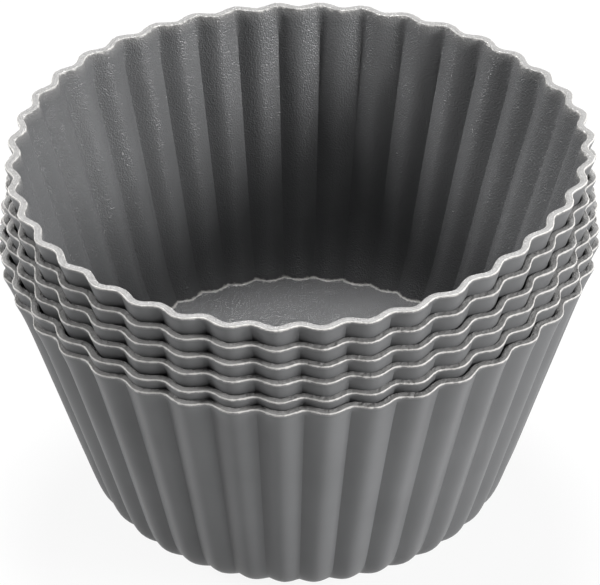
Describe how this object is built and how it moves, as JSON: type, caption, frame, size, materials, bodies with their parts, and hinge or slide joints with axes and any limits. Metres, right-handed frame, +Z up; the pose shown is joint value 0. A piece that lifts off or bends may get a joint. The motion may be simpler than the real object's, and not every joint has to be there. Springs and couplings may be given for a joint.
{
  "type": "stack of silicone baking cups",
  "caption": "Nested stack of round fluted silicone baking cups with flared walls, thickened lips and flat floors, standing mouth up.",
  "frame": {"origin": "centre of the lowest cup's flat underside, on the surface that the stack stands on", "axes": "+Z up along the axis of the stack, out of the cups' mouths; the notch between two flutes faces -Y, the front"},
  "size_m": [0.0708, 0.0708, 0.0473],
  "materials": {
    "silicone": "matte"
  },
  "bodies": {
    "root": {"cup_1": "silicone", "cup_2": "silicone", "cup_3": "silicone", "cup_4": "silicone", "cup_5": "silicone", "cup_6": "silicone"}
  },
  "joints": []
}
